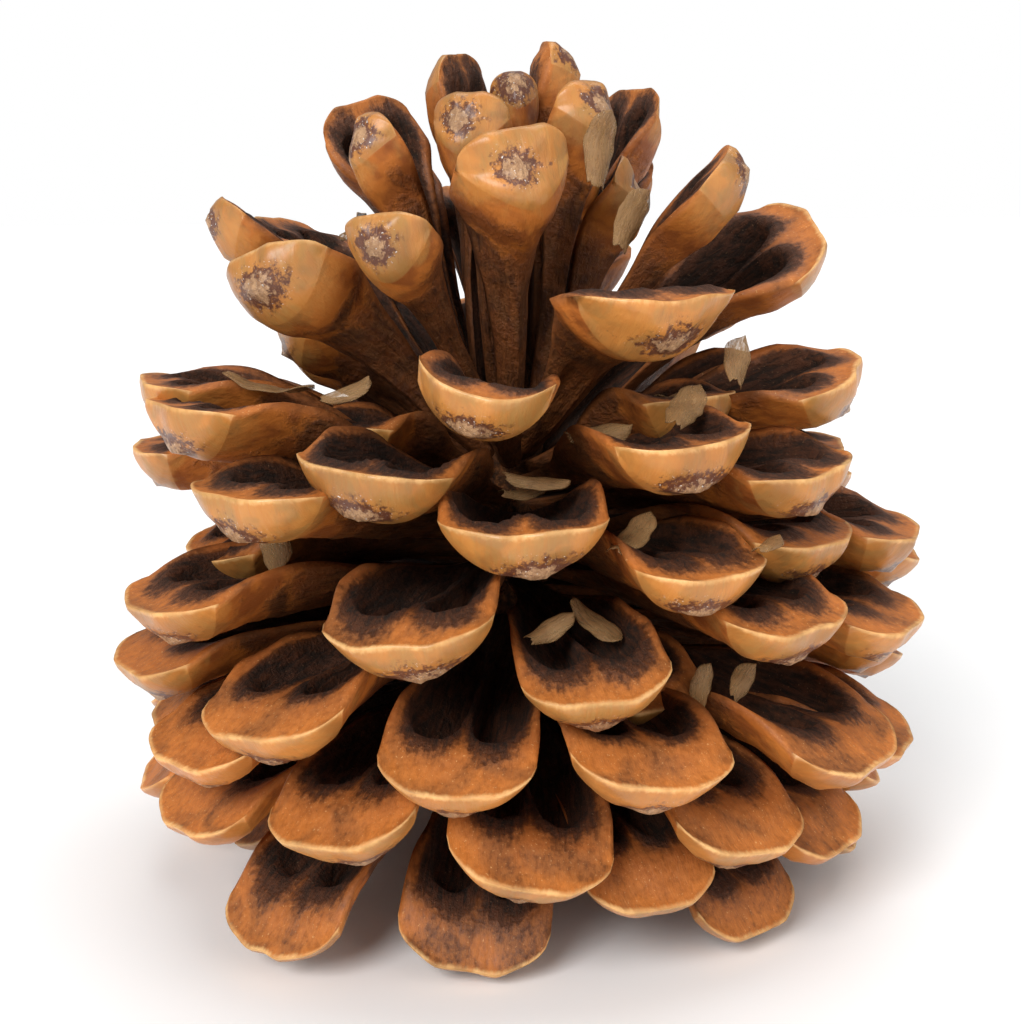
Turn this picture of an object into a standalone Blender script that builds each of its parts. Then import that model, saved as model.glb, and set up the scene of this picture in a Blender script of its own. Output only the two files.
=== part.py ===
"""Open stone pine cone: one woody body of spiralling scales on a short axis, and loose seed wings.

Metres, +Z up. The cone stands on the tips of its lowest scales, apex up.
The origin is on the resting plane, at the middle of the cone's width and depth.
"""

import bmesh
import bpy
import math
from mathutils import Matrix, Vector

MM = 0.001

# Spiral of scales, number 0 at the apex
SCALE_COUNT = 123
TURN = 137.5
FIRST_TURN = -36.0
AXIS_TOP = 38.5
AXIS_DROP = 0.4365
AXIS_RADIUS = 6.0

# How the scales change from apex to base, at these numbers
STEPS = (0, 16, 26, 42, 58, 74, 90, 106, 122)
LIFT = (88, 61, 34, 17, 7, -1, -7, -15, -24)
LENGTH = (41.5, 45, 47.5, 50, 52.5, 55, 55, 52, 47.5)
WIDTH = (7, 14, 17.5, 19.2, 19.6, 19.6, 19.6, 19.2, 18)
BACK_SHORT = 2.6

# Scales that grew out of line: turn, lift, longer, roll in degrees and millimetres, and wider
ODD = {
    0: (0, 0, -4, 0, 0.9),
    1: (0, 0.5, 3.8, 0, 1.15),
    2: (0, 0, -2, 0, 1.2),
    3: (-9, 3, -0.6, 0, 0.85),
    5: (-6, 7, 2.4, 50, 1.2),
    6: (0, 4, -8, 0, 1.0),
    8: (-2, 0, -1.1, 0, 1.08),
    9: (4, -5, 4, 0, 1.35),
    10: (0, -2, 1, 45, 1.4),
    11: (6, 8, 0.6, 0, 0.9),
    13: (-8, 2, -0.8, 0, 0.75),
    14: (0, 10, -8, 0, 1.0),
    16: (-2, 4, -1.4, -20, 1.18),
    18: (0, -12.5, 1.1, 0, 0.92),
    19: (-6, -1.5, 2.4, -30, 0.88),
    21: (3, -2.5, -2, -8, 0.78),
    22: (0, -9, -4, 0, 1.0),
    24: (0, -11.2, 1.6, 0, 1.32),
    26: (10, 5, -1.5, -26, 1.0),
    27: (0, 8, 1, -36, 1.15),
    29: (4, -12.2, -1, 12, 0.96),
    31: (0, 10, -14, 0, 1.0),
    32: (0, -6, -14, 0, 0.9),
    34: (-8, -6, -20, 0, 0.9),
    35: (0, -2, -8, 0, 1.0),
    36: (0, 6, -10, 0, 1.0),
    37: (14.2, -8.3, 0, -5, 0.99),
    40: (0, 4, -1, -15, 1.0),
    42: (1.2, -3.3, -1, 6, 1.05),
    45: (12.3, -3, 1, -5, 0.96),
    47: (-2, 8, 1, 0, 1.0),
    48: (0, 0, -8, 0, 1.0),
    50: (2.8, -2, 0, 0, 1.04),
    52: (-2, 3, -2, 0, 1.0),
    53: (-1.2, -5.6, -4, 0, 1.02),
    55: (-1.7, 6.2, 2, 0, 1.03),
    56: (0, 0, -5, 0, 1.0),
    58: (6.2, -0.3, 0, 0, 0.89),
    60: (0, -2, -11, 0, 1.0),
    63: (1.2, -2, 2, -6, 1.06),
    65: (0, 0, -12, 0, 1.0),
    66: (-1.2, -1.3, 0, 0, 1.0),
    68: (-4, 2, 1, 0, 0.95),
    71: (4.5, -2, -1, -6, 0.93),
    73: (0, 0, -8, 0, 0.95),
    74: (1, 1.7, 0, 0, 1.0),
    76: (-5, -3.7, 1, -6, 1.07),
    79: (0, -6, -18, 0, 0.9),
    81: (0, 3, -1, 0, 0.95),
    82: (0, 0, -5, 0, 0.95),
    84: (-1.2, -2, 0, 3, 0.97),
    86: (0, 0, -5, 0, 0.95),
    87: (6, -5, 0, 0, 1.18),
    89: (-5, 1, 1, 0, 0.95),
    92: (3, 5.3, 1, 6, 1.06),
    94: (0, 0, -6, 0, 0.95),
    97: (-3.8, 1, 1, -9, 1.05),
    100: (-2.2, -0.5, 0, 7, 1.03),
    103: (-1, -5, -1, 0, 0.95),
    105: (0, 3, 0, 11, 1.08),
    110: (-5, -7, 3, 0, 1.0),
    113: (-1, 4, -1, 0, 0.97),
    115: (0, 0, -8, 0, 1.0),
    118: (4, -2.4, 0, 8, 1.0),
    119: (0, -3, 0, 0, 1.0),
    120: (0, -0.5, 0, 0, 1.0),
    121: (0, 0.6, 0, 0, 1.0),
    122: (0, -1, 0, 0, 1.0),
}

# One scale, from its root: stations are shares of its length, heights in millimetres
ROOT_HALF = 2.0
STALK_AT = 0.34
HOLLOW_AT = 0.54
BROW_AT = 0.77
STALK_SHARE = 0.19
HOLLOW_SHARE = 0.38
BROW_SHARE = 0.49
CORNER_BACK = 5.6
SHOULDER_BACK = 1.5
CORNER_LIFT = 0.9
EDGE_LIFT = 1.6
HOLLOW_DEPTH = 2.2
KEEL = (1.2, 2.2, 4.8, 6.6)
UMBO_BACK = (2.2, 3.6)
UMBO_DROP = (3.6, 5.6)
LOWER_BACK = 8.5
LOWER_DROP = 7.2

# The core's turned outline: height and radius
CORE_SIDES = 8
CORE = ((-24, 3.6), (-18.5, 4.2), (-17, 6.4), (12, 6.2), (36, 4.0), (43, 1.2))

# Papery seed wings caught between the scales: degrees round from the front, height above the
# resting plane and radius of the middle in millimetres, heading and nod in degrees, length and width
WING_THICK = 0.6
WING_STEPS = 4
WING_CUP = 0.8
WINGS = (
    (33, 104, 22, 70, 10, 14, 7),
    (42, 95, 24, 50, 10, 15, 7),
    (-80, 94, 22, 40, 30, 12, 6),
    (19, 69, 34, 5, 50, 14, 6),
    (46, 72, 30, 20, 100, 13, 6),
    (40, 78, 44, 50, 40, 12, 6),
    (30, 73, 43, 40, 60, 13, 6),
    (5, 64, 38, -10, 60, 13, 5),
    (3, 62, 35, 20, 60, 12, 5),
    (19, 58, 45, 45, 70, 13, 5),
    (6, 47, 45, 30, 50, 13, 6),
    (14, 47, 43, -60, 60, 13, 6),
    (36, 36, 42, 55, 30, 12, 6),
    (35, 57, 54, 20, 80, 12, 5),
    (43, 36, 44, 30, 30, 11, 6),
    (-57, 74, 38, 50, 100, 14, 7),
    (-38, 74, 34, 30, 50, 12, 6),
    (-48, 54, 42, -30, 40, 14, 6),
    (112, 58, 42, 20, 80, 14, 6),
    (147, 76, 38, 30, 50, 13, 7),
    (176, 48, 42, -20, 90, 14, 6),
    (-164, 72, 42, 30, 80, 13, 6),
    (-139, 54, 44, 10, 80, 12, 6),
    (-110, 42, 46, 10, 40, 14, 6),
)

# The resting plane below the axis zero, and how far off the axis the middle of the cone is
FLOOR_BELOW = 35.8
MIDDLE = (1.67, -1.17)


def between(values, number):
    for a, b, low, high in zip(STEPS, STEPS[1:], values, values[1:]):
        if number <= b:
            return low + (high - low) * (number - a) / (b - a)
    return values[-1]


def scale_frame(number):
    turn, lift, longer, roll, wider = ODD.get(number, (0, 0, 0, 0, 1.0))
    angle = math.radians(FIRST_TURN + TURN * number + turn)
    rise = math.radians(between(LIFT, number) + lift)
    spin = math.radians(roll)
    height = AXIS_TOP - AXIS_DROP * number
    out = Vector((math.sin(angle), -math.cos(angle), 0))
    side = Vector((math.cos(angle), math.sin(angle), 0))
    along = out * math.cos(rise) + Vector((0, 0, math.sin(rise)))
    up = Vector((0, 0, math.cos(rise))) - out * math.sin(rise)
    side, up = side * math.cos(spin) - up * math.sin(spin), up * math.cos(spin) + side * math.sin(spin)
    base = out * min(AXIS_RADIUS, 3.0 + 0.3 * number) + Vector((0, 0, height))
    place = Matrix((along, side, up)).transposed().to_4x4()
    place.translation = base
    length = between(LENGTH, number) + longer - BACK_SHORT * max(0.0, -math.cos(angle))
    return place, length, between(WIDTH, number) * wider


def scale_rings(length, width):
    small = width / 20.0
    half = width / 2
    # Narrow scales of the crown are knobs on slim stalks
    slim = min(1.0, max(0.75, 0.75 + 0.05 * (width - 14)))
    rings = []
    root = min(ROOT_HALF, half * 0.5)
    stalk = max(STALK_SHARE * width * slim, root + 0.3)
    x = length * STALK_AT
    rings.append([(-3.5, -root, 0.9), (-3.5, root, 0.9), (-3.5, root, -KEEL[0]), (-3.5, -root, -KEEL[0])])
    rings.append([(x, -stalk, 1.1), (x, stalk, 1.1), (x, stalk * 0.6, -KEEL[1]), (x, -stalk * 0.6, -KEEL[1])])
    stations = (
        (HOLLOW_AT, HOLLOW_SHARE, 1.0, 1.0, KEEL[2]),
        (BROW_AT, BROW_SHARE, 0.8, 0.0, KEEL[3]),
    )
    for at, share, edge, deep, keel in stations:
        x = length * at
        w = max(width * share * slim, root + 0.4)
        edge_z = EDGE_LIFT * edge * small
        hollow_z = -HOLLOW_DEPTH * deep * small
        keel_z = -keel * (0.4 + 0.6 * small)
        top = [(x, -w, edge_z), (x, 0, 0.5 * deep), (x, w, edge_z)]
        if deep:
            top[1:2] = [(x, -w * 0.5, hollow_z), top[1], (x, w * 0.5, hollow_z)]
        rings.append(top + [(x, w * 0.72, keel_z * 0.62), (x, 0, keel_z), (x, -w * 0.72, keel_z * 0.62)])
    corner = length - CORNER_BACK * small
    shoulder = length - SHOULDER_BACK * small
    thick = 0.4 + 0.6 * small
    low = length - LOWER_BACK * thick
    low_z = -LOWER_DROP * thick
    rings.append([
        (corner, -half, CORNER_LIFT * small), (shoulder, -half * 0.6, 0.1), (length, 0, 0.0),
        (shoulder, half * 0.6, 0.1), (corner, half, CORNER_LIFT * small),
        (low + 1.5, half * 0.68, low_z * 0.68), (low, 0, low_z), (low + 1.5, -half * 0.68, low_z * 0.68),
    ])
    # The umbo sits lower on the broad scales than on the knobs
    sag = (slim - 0.75) * 4
    back = UMBO_BACK[0] + (UMBO_BACK[1] - UMBO_BACK[0]) * sag
    drop = UMBO_DROP[0] + (UMBO_DROP[1] - UMBO_DROP[0]) * sag
    umbo = (length - back * thick, 0, -drop * thick)
    return rings, umbo


def link(name, mesh, collection):
    item = bpy.data.objects.new(name, mesh)
    collection.objects.link(item)
    return item


def to_mesh(name, shape):
    bmesh.ops.recalc_face_normals(shape, faces=shape.faces)
    mesh = bpy.data.meshes.new(name)
    shape.to_mesh(mesh)
    shape.free()
    return mesh


def make_scale(number, shift):
    place, length, width = scale_frame(number)
    rings, umbo = scale_rings(length, width)
    shape = bmesh.new()
    levels = [[shape.verts.new((place @ Vector(p) + shift) * MM) for p in ring] for ring in rings]
    root, stalk, hollow = levels[:3]
    shape.faces.new(root)
    for k in range(4):
        shape.faces.new((root[k], root[(k + 1) % 4], stalk[(k + 1) % 4], stalk[k]))
    # The stalk's four corners fan out to the eight of the hollow
    left, right, low_right, low_left = stalk
    shape.faces.new((left, hollow[0], hollow[1]))
    shape.faces.new((left, hollow[1], hollow[2]))
    shape.faces.new((left, hollow[2], right))
    shape.faces.new((right, hollow[2], hollow[3]))
    shape.faces.new((right, hollow[3], hollow[4]))
    shape.faces.new((right, hollow[4], hollow[5], low_right))
    shape.faces.new((low_right, hollow[5], hollow[6]))
    shape.faces.new((low_right, hollow[6], low_left))
    shape.faces.new((low_left, hollow[6], hollow[7]))
    shape.faces.new((low_left, hollow[7], hollow[0], left))
    # The hollow's eight corners close to six at the brow, and open again to the eight of the rim
    brow, rim = levels[3:]
    for a, b, c in ((0, 1, 0), (1, 2, 1), (2, 3, 1), (3, 4, 2)):
        shape.faces.new((hollow[a], hollow[b], brow[c]))
    shape.faces.new((hollow[1], brow[1], brow[0]))
    shape.faces.new((hollow[3], brow[2], brow[1]))
    for a, b, c in ((0, 1, 0), (1, 2, 1), (2, 3, 1), (3, 4, 2)):
        shape.faces.new((brow[c], rim[b], rim[a]))
    shape.faces.new((brow[0], brow[1], rim[1]))
    shape.faces.new((brow[1], brow[2], rim[3]))
    for k in range(4):
        a, b = 4 + k, (5 + k) % 8
        c, d = 2 + k, (3 + k) % 6
        shape.faces.new((hollow[a], hollow[b], brow[d], brow[c]))
        shape.faces.new((brow[c], brow[d], rim[b], rim[a]))
    tip = shape.verts.new((place @ Vector(umbo) + shift) * MM)
    for k in range(8):
        shape.faces.new((levels[-1][k], levels[-1][(k + 1) % 8], tip))
    bmesh.ops.triangulate(shape, faces=shape.faces)
    return to_mesh("scale", shape)


def make_core(shift):
    # Turned core: stem stub below, blunt point above, hidden among the scale roots
    shape = bmesh.new()
    circles = []
    for height, radius in CORE:
        ring = []
        for k in range(CORE_SIDES):
            angle = 2 * math.pi * k / CORE_SIDES
            spot = Vector((radius * math.cos(angle), radius * math.sin(angle), height))
            ring.append(shape.verts.new((spot + shift) * MM))
        circles.append(ring)
    for lower, upper in zip(circles, circles[1:]):
        for k in range(CORE_SIDES):
            after = (k + 1) % CORE_SIDES
            shape.faces.new((lower[k], lower[after], upper[after], upper[k]))
    shape.faces.new(circles[0])
    shape.faces.new(circles[-1])
    bmesh.ops.triangulate(shape, faces=shape.faces)
    return to_mesh("core", shape)


def wing_point(length, width, along, across):
    # Broad at two thirds, blunt outside end, narrow torn inner end, and gently cupped
    share = (along + 0.5)
    half = width / 2 * (0.45 + 0.55 * math.sin(math.pi * min(1.0, share * 0.75 + 0.05)))
    if share > 0.8:
        half *= math.sqrt(max(0.0, 1 - ((share - 0.8) / 0.23) ** 2))
    cup = WING_CUP * ((2 * along) ** 2) - 0.5 * across * across
    return Vector((length * along, half * across, cup))


def make_wing(around, height, radius, heading, nod, length, width, shift):
    angle = math.radians(around)
    out = Vector((math.sin(angle), -math.cos(angle), 0))
    face = out * math.cos(math.radians(nod)) + Vector((0, 0, math.sin(math.radians(nod))))
    level = Vector((math.cos(angle), math.sin(angle), 0))
    tall = face.cross(level)
    along = level * math.cos(math.radians(heading)) + tall * math.sin(math.radians(heading))
    place = Matrix((along, face.cross(along), face)).transposed().to_4x4()
    place.translation = out * radius + Vector((0, 0, height - FLOOR_BELOW))
    shape = bmesh.new()
    sheets = []
    for side in (0.5, -0.5):
        sheet = []
        for i in range(WING_STEPS + 1):
            row = []
            for across in (-1, 0, 1):
                spot = wing_point(length, width, i / WING_STEPS - 0.5, across) + Vector((0, 0, side * WING_THICK))
                row.append(shape.verts.new((place @ spot + shift) * MM))
            sheet.append(row)
        sheets.append(sheet)
    top, bottom = sheets
    for i in range(WING_STEPS):
        for k in range(2):
            shape.faces.new((top[i][k], top[i + 1][k], top[i + 1][k + 1], top[i][k + 1]))
            shape.faces.new((bottom[i][k], bottom[i][k + 1], bottom[i + 1][k + 1], bottom[i + 1][k]))
        shape.faces.new((top[i][0], bottom[i][0], bottom[i + 1][0], top[i + 1][0]))
        shape.faces.new((top[i][2], top[i + 1][2], bottom[i + 1][2], bottom[i][2]))
    for k in range(2):
        shape.faces.new((top[0][k], top[0][k + 1], bottom[0][k + 1], bottom[0][k]))
        shape.faces.new((top[-1][k], bottom[-1][k], bottom[-1][k + 1], top[-1][k + 1]))
    bmesh.ops.triangulate(shape, faces=shape.faces)
    return to_mesh("wing", shape)


def material(name, colour, roughness):
    skin = bpy.data.materials.new(name)
    skin.use_nodes = True
    shader = skin.node_tree.nodes["Principled BSDF"]
    shader.inputs["Base Color"].default_value = (*colour, 1)
    shader.inputs["Roughness"].default_value = roughness
    shader.inputs["Metallic"].default_value = 0.0
    return skin


def apply_modifiers(item):
    graph = bpy.context.evaluated_depsgraph_get()
    baked = bpy.data.meshes.new_from_object(item.evaluated_get(graph))
    old = item.data
    item.modifiers.clear()
    item.data = baked
    bpy.data.meshes.remove(old)


def keep_one_body(item):
    # Hollows sealed in by the fusing are filled and loose scraps dropped, by keeping the largest shell
    shape = bmesh.new()
    shape.from_mesh(item.data)
    shells = []
    left = set(shape.verts)
    while left:
        seed = left.pop()
        shell = [seed]
        queue = [seed]
        while queue:
            spot = queue.pop()
            for edge in spot.link_edges:
                other = edge.other_vert(spot)
                if other in left:
                    left.remove(other)
                    shell.append(other)
                    queue.append(other)
        shells.append(shell)
    shells.sort(key=len)
    for shell in shells[:-1]:
        bmesh.ops.delete(shape, geom=shell, context="VERTS")
    shape.to_mesh(item.data)
    shape.free()


def make_cone(shift):
    scene = bpy.context.scene.collection
    group = bpy.data.collections.new("scales")
    scene.children.link(group)
    cone = link("cone", make_core(shift), scene)
    for number in range(SCALE_COUNT):
        link("scale", make_scale(number, shift), group)
    join = cone.modifiers.new("join", "BOOLEAN")
    join.operation = "UNION"
    join.operand_type = "COLLECTION"
    join.collection = group
    join.solver = "MANIFOLD"
    apply_modifiers(cone)
    for item in list(group.objects):
        bpy.data.objects.remove(item, do_unlink=True)
    bpy.data.collections.remove(group)
    # The lowest tips are worn flat where the cone stands
    bpy.ops.mesh.primitive_cube_add(size=1, location=(0, 0, -0.05))
    floor = bpy.context.object
    floor.scale = (0.4, 0.4, 0.1)
    trim = cone.modifiers.new("trim", "BOOLEAN")
    trim.operation = "DIFFERENCE"
    trim.object = floor
    trim.solver = "MANIFOLD"
    bpy.context.view_layer.update()
    apply_modifiers(cone)
    bpy.data.objects.remove(floor, do_unlink=True)
    keep_one_body(cone)
    cone.data.materials.clear()
    cone.data.materials.append(material("cone wood", (0.36, 0.17, 0.06), 0.6))
    return cone


for item in list(bpy.data.objects):
    bpy.data.objects.remove(item, do_unlink=True)

SHIFT = Vector((-MIDDLE[0], -MIDDLE[1], FLOOR_BELOW))
make_cone(SHIFT)
PAPER = material("seed wing paper", (0.62, 0.48, 0.32), 0.5)
for order, wing in enumerate(WINGS, 1):
    blade = link(f"seed_wing_{order:02d}", make_wing(*wing, SHIFT), bpy.context.scene.collection)
    blade.data.materials.append(PAPER)
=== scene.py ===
"""Open stone pine cone, dressed: woody scales in spirals on a short axis, with loose seed wings.

Metres, +Z up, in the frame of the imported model. Sizes are in millimetres and are scaled by MM.
"""

import math
import random

import bpy
import numpy as np
from mathutils import Euler, Matrix, Vector


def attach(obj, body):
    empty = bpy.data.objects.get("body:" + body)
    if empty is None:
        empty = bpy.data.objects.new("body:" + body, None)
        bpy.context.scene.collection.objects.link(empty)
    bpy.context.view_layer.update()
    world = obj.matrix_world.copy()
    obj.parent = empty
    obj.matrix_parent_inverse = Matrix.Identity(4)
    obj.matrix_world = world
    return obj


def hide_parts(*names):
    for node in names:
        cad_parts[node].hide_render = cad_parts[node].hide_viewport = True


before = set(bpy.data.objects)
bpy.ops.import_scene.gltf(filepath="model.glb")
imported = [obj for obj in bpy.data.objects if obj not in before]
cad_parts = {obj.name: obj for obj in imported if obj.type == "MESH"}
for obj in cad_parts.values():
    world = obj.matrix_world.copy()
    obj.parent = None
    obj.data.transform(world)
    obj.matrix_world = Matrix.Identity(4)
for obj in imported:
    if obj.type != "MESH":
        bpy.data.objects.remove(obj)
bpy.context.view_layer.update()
MM = 0.001


# Camera
# It stands in front of the cone at the height of its upper third and looks a little down,
# from as near as a table photograph of a small thing is taken.
CAMERA_AT = (-1.58, -239.5, 101.8)
CAMERA_DOWN = 13.36
CAMERA_TURN = 0.07
CAMERA_ROLL = -0.52
CAMERA_LENS = 58.57
CAMERA_SHIFT = 0.05

camera_data = bpy.data.cameras.new("photo camera")
camera_data.sensor_width = 36.0
camera_data.lens = CAMERA_LENS
camera_data.shift_y = CAMERA_SHIFT
camera_data.clip_start = 0.01
camera = bpy.data.objects.new("photo camera", camera_data)
camera.location = Vector(CAMERA_AT) * MM
camera.rotation_mode = "QUATERNION"
look = Euler((math.radians(90 - CAMERA_DOWN), 0, math.radians(CAMERA_TURN)))
tilt = Euler((0, 0, math.radians(CAMERA_ROLL)))
camera.rotation_quaternion = look.to_quaternion() @ tilt.to_quaternion()
bpy.context.scene.collection.objects.link(camera)
bpy.context.scene.camera = camera


# Floor and studio light
# A plain pale table under even, wide lamps: the main one above and to the left of the camera, a
# weaker one on the right and one overhead, with pale surroundings that fill the shadows a little.
FLOOR_SIZE = 6.0
FLOOR_COLOUR = (0.96, 0.96, 0.96)
FLOOR_ROUGHNESS = 0.8
SKY_COLOUR = (1.0, 1.0, 1.0)
SKY_STRENGTH = 0.36
BACKDROP_STRENGTH = 1.0
# Where each lamp shines from, how wide it looks in degrees, and its strength
LAMPS = {
    "key softbox": ((-0.42, -0.80, 0.62), 28, 2.5),
    "fill softbox": ((0.75, -0.60, 0.40), 50, 0.8),
    "top softbox": ((0.10, 0.20, 0.95), 50, 1.2),
}

floor_mesh = bpy.data.meshes.new("table")
half_floor = FLOOR_SIZE / 2
floor_mesh.from_pydata(
    [(-half_floor, -half_floor, 0), (half_floor, -half_floor, 0), (half_floor, half_floor, 0),
     (-half_floor, half_floor, 0)],
    [], [(0, 1, 2, 3)],
)
floor = bpy.data.objects.new("table", floor_mesh)
bpy.context.scene.collection.objects.link(floor)
floor_paint = bpy.data.materials.new("pale table")
floor_paint.use_nodes = True
floor_shader = floor_paint.node_tree.nodes["Principled BSDF"]
floor_shader.inputs["Base Color"].default_value = (*FLOOR_COLOUR, 1)
floor_shader.inputs["Roughness"].default_value = FLOOR_ROUGHNESS
floor_mesh.materials.append(floor_paint)

for lamp_name, (lamp_from, lamp_width, lamp_power) in LAMPS.items():
    lamp_data = bpy.data.lights.new(lamp_name, "SUN")
    lamp_data.angle = math.radians(lamp_width)
    lamp_data.energy = lamp_power
    lamp = bpy.data.objects.new(lamp_name, lamp_data)
    lamp.location = lamp_from
    lamp.rotation_mode = "QUATERNION"
    lamp.rotation_quaternion = (-Vector(lamp_from)).to_track_quat("-Z", "Y")
    bpy.context.scene.collection.objects.link(lamp)

sky = bpy.data.worlds.new("studio")
sky.use_nodes = True
sky_tree = sky.node_tree
sky_light = sky_tree.nodes["Background"]
sky_light.inputs["Color"].default_value = (*SKY_COLOUR, 1)
sky_light.inputs["Strength"].default_value = SKY_STRENGTH
backdrop = sky_tree.nodes.new("ShaderNodeBackground")
backdrop.inputs["Color"].default_value = (*SKY_COLOUR, 1)
backdrop.inputs["Strength"].default_value = BACKDROP_STRENGTH
seen = sky_tree.nodes.new("ShaderNodeLightPath")
either = sky_tree.nodes.new("ShaderNodeMixShader")
sky_tree.links.new(seen.outputs["Is Camera Ray"], either.inputs["Fac"])
sky_tree.links.new(sky_light.outputs["Background"], either.inputs[1])
sky_tree.links.new(backdrop.outputs["Background"], either.inputs[2])
sky_tree.links.new(either.outputs["Shader"], sky_tree.nodes["World Output"].inputs["Surface"])
bpy.context.scene.world = sky
bpy.context.scene.view_settings.view_transform = "Standard"
bpy.context.scene.view_settings.look = "None"


# Wood of the scales
# Dry pine scale wood: glossy tan outer ends with a pale edge, partly dust and partly a painted highlight,
# and a scabby boss of dried resin with painted glints, rust-brown margins, and sooty dark brown round and
# in the seed hollows. The stalk ends and the lowest scales are darkened, partly their own colour and dirt
# and partly painted shade.
TAN = (0.66, 0.275, 0.062)
OLIVE_TAN = (0.42, 0.225, 0.065)
ORANGE = (0.58, 0.178, 0.030)
RUST = (0.33, 0.092, 0.019)
UMBER = (0.17, 0.058, 0.018)
# pale dust, also the colour of the painted highlight along the edge
PALE_DUST_AND_HIGHLIGHT = (0.92, 0.54, 0.21)
BOSS_BROWN = (0.14, 0.047, 0.024)
RESIN = (0.64, 0.37, 0.19)
SOOT = (0.017, 0.008, 0.004)
HOLLOW_RED = (0.060, 0.019, 0.007)
BARK_BROWN = (0.080, 0.024, 0.007)
STALK_BROWN = (0.17, 0.060, 0.017)
# near-white of the painted glints on the boss
GLINT = (0.90, 0.85, 0.78)


def add_node(tree, kind, place, **settings):
    node = tree.nodes.new(kind)
    node.location = place
    for key, value in settings.items():
        setattr(node, key, value)
    return node


def wire(tree, source, target):
    tree.links.new(source, target)


def put(node, **values):
    for key, value in values.items():
        node.inputs[key.replace("_", " ")].default_value = value


def new_group(name, takes, gives):
    group = bpy.data.node_groups.new(name, "ShaderNodeTree")
    for label, kind in takes:
        group.interface.new_socket(label, in_out="INPUT", socket_type=kind)
    for label, kind in gives:
        group.interface.new_socket(label, in_out="OUTPUT", socket_type=kind)
    inside = add_node(group, "NodeGroupInput", (-900, 0))
    outside = add_node(group, "NodeGroupOutput", (900, 0))
    return group, inside, outside


def ramp(tree, place, source, low, high):
    """A mask that goes from 0 at low to 1 at high, smoothly."""
    node = add_node(tree, "ShaderNodeMapRange", place, interpolation_type="SMOOTHSTEP")
    put(node, From_Min=low, From_Max=high)
    wire(tree, source, node.inputs["Value"])
    return node.outputs["Result"]


def sums(tree, place, operation, first, second):
    node = add_node(tree, "ShaderNodeMath", place, operation=operation)
    for socket, value in zip(node.inputs, (first, second)):
        if isinstance(value, (int, float)):
            socket.default_value = value
        else:
            wire(tree, value, socket)
    return node.outputs[0]


def plus(tree, place, total, *more):
    """A mask plus others, each times its own share."""
    for step, (mask, share) in enumerate(more):
        at = (place[0] + 180 * step, place[1])
        node = add_node(tree, "ShaderNodeMath", at, operation="MULTIPLY_ADD")
        wire(tree, mask, node.inputs[0])
        node.inputs[1].default_value = share
        wire(tree, total, node.inputs[2])
        total = node.outputs[0]
    return total


def tint(tree, place, mask, first, second, share=1.0):
    """The first colour where the mask is 0, and the second, or a share of it, where it is 1."""
    if share < 1.0:
        mask = sums(tree, (place[0] - 180, place[1] - 160), "MULTIPLY", mask, share)
    node = add_node(tree, "ShaderNodeMix", place, data_type="RGBA")
    sockets = {socket.name: socket for socket in node.inputs if socket.enabled}
    wire(tree, mask, sockets["Factor"])
    for label, colour in (("A", first), ("B", second)):
        if isinstance(colour, tuple):
            sockets[label].default_value = (*colour, 1)
        else:
            wire(tree, colour, sockets[label])
    return [socket for socket in node.outputs if socket.enabled][0]


# Masks of the fibre group: stretch of the place or how far it is moved, the noise, and its limits
FIBRE_MASKS = {
    "Fibre": ("MULTIPLY", (0.16, 1.0, 0.8), (1.5, 4.0, 0.6, 0.4), (0.36, 0.64)),
    "Blotch": ("ADD", (0.0, 0.0, 0.0), (0.22, 3.0, 0.55, 0.6), (0.38, 0.62)),
    "Speck": ("ADD", (0.0, 0.0, 0.0), (3.2, 2.0, 0.5, 0.0), (0.66, 0.74)),
    "Fine": ("ADD", (0.0, 0.0, 0.0), (1.1, 5.0, 0.65, 0.0), (0.30, 0.70)),
    "Cloud": ("ADD", (57.0, 23.0, 91.0), (0.15, 2.5, 0.5, 0.5), (0.42, 0.68)),
    "Rays": ("MULTIPLY", (0.25, 1.0, 0.10), (1.5, 4.0, 0.6, 0.3), (0.34, 0.66)),
}


def make_fibre_group():
    """Fibres along the scale, broad blotches, and fine specks, all from the place on the scale."""
    group, inside, outside = new_group(
        "wood fibre",
        [("Place", "NodeSocketVector")],
        [(label, "NodeSocketFloat") for label in FIBRE_MASKS],
    )
    for row, (label, (move, by, noise, limits)) in enumerate(FIBRE_MASKS.items()):
        height = 400 - 250 * row
        moved = add_node(group, "ShaderNodeVectorMath", (-700, height), operation=move)
        wire(group, inside.outputs["Place"], moved.inputs[0])
        moved.inputs[1].default_value = by
        grown = add_node(group, "ShaderNodeTexNoise", (-450, height))
        put(grown, **dict(zip(("Scale", "Detail", "Roughness", "Distortion"), noise)))
        wire(group, moved.outputs[0], grown.inputs["Vector"])
        mask = ramp(group, (-150, height), grown.outputs["Fac"], *limits)
        wire(group, mask, outside.inputs[label])
    return group


FIBRE = make_fibre_group()


def new_material(name):
    """A material with its shader and the wood fibre group, which reads the place on the piece."""
    paint = bpy.data.materials.new(name)
    paint.use_nodes = True
    tree = paint.node_tree
    place = add_node(tree, "ShaderNodeAttribute", (-2200, 0), attribute_name="grain")
    fibre = add_node(tree, "ShaderNodeGroup", (-2000, 0), node_tree=FIBRE)
    wire(tree, place.outputs["Vector"], fibre.inputs["Place"])
    return paint, tree, tree.nodes["Principled BSDF"], fibre


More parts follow.
